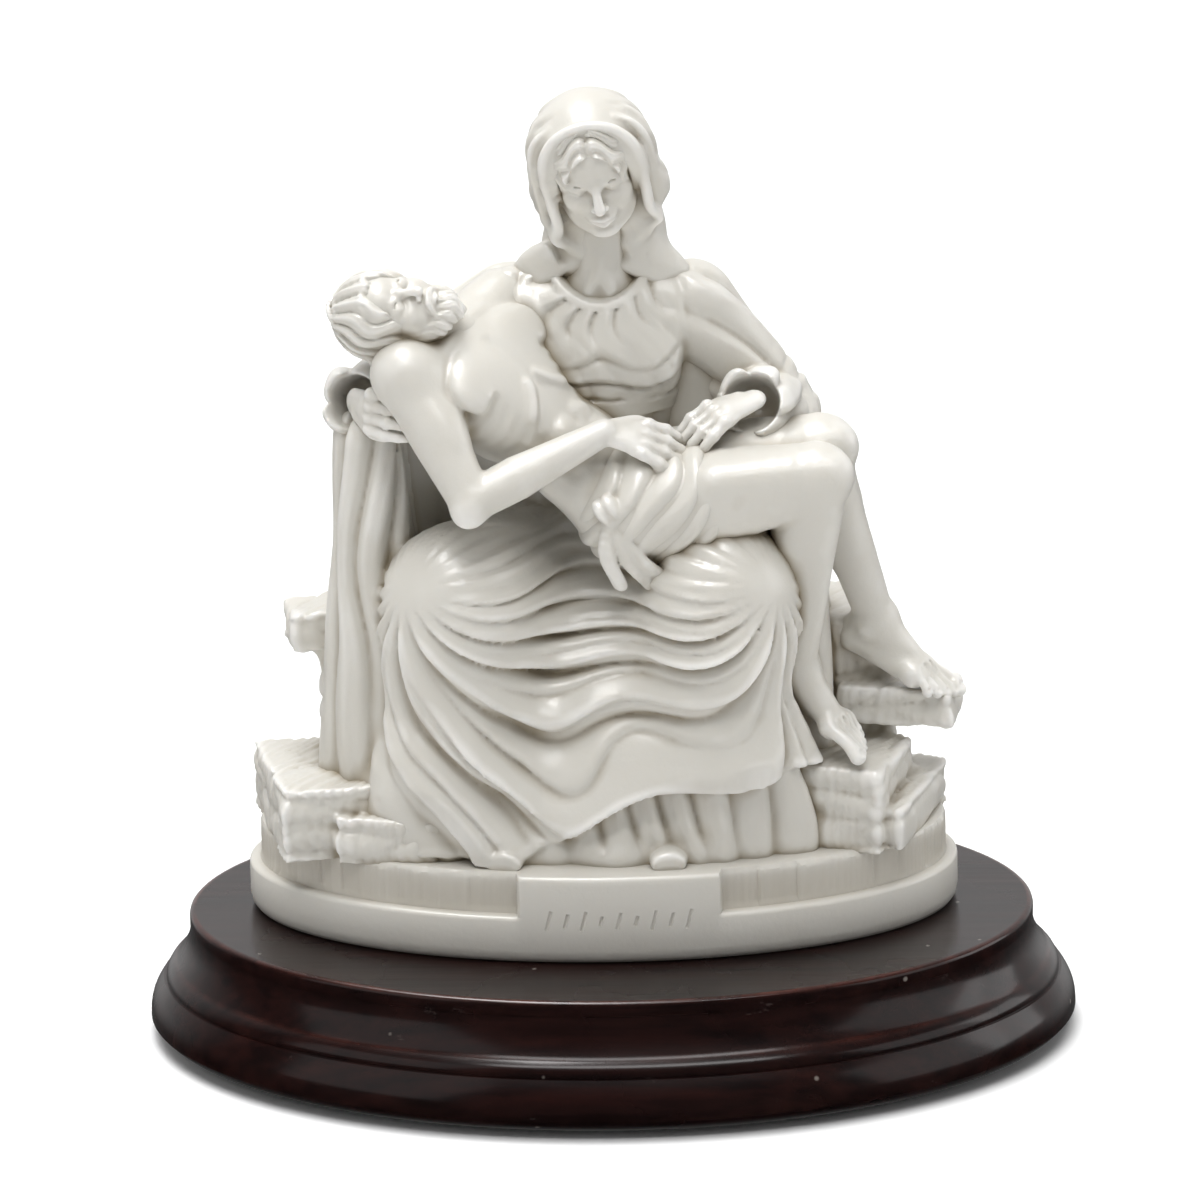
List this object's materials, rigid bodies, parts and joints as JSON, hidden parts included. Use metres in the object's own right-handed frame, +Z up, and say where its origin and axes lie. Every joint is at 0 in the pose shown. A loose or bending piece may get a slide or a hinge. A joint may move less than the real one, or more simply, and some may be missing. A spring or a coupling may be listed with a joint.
{
  "type": "pieta statuette",
  "caption": "Seated veiled mother with her son across her lap, cast in one piece with its oval base, on an oval dark wood plinth.",
  "frame": {"origin": "centre of the plinth's underside", "axes": "+X to the viewer's right, the group faces the viewer at -Y, +Z up"},
  "size_m": [0.131, 0.09, 0.1373],
  "materials": {
    "cast_resin": "satin, warm off-white marble resin, a little darker in the hollows",
    "lacquered_wood": "very dark mahogany under gloss lacquer"
  },
  "bodies": {
    "root": {"cast_group": "cast_resin", "wood_plinth": "lacquered_wood"}
  },
  "joints": []
}
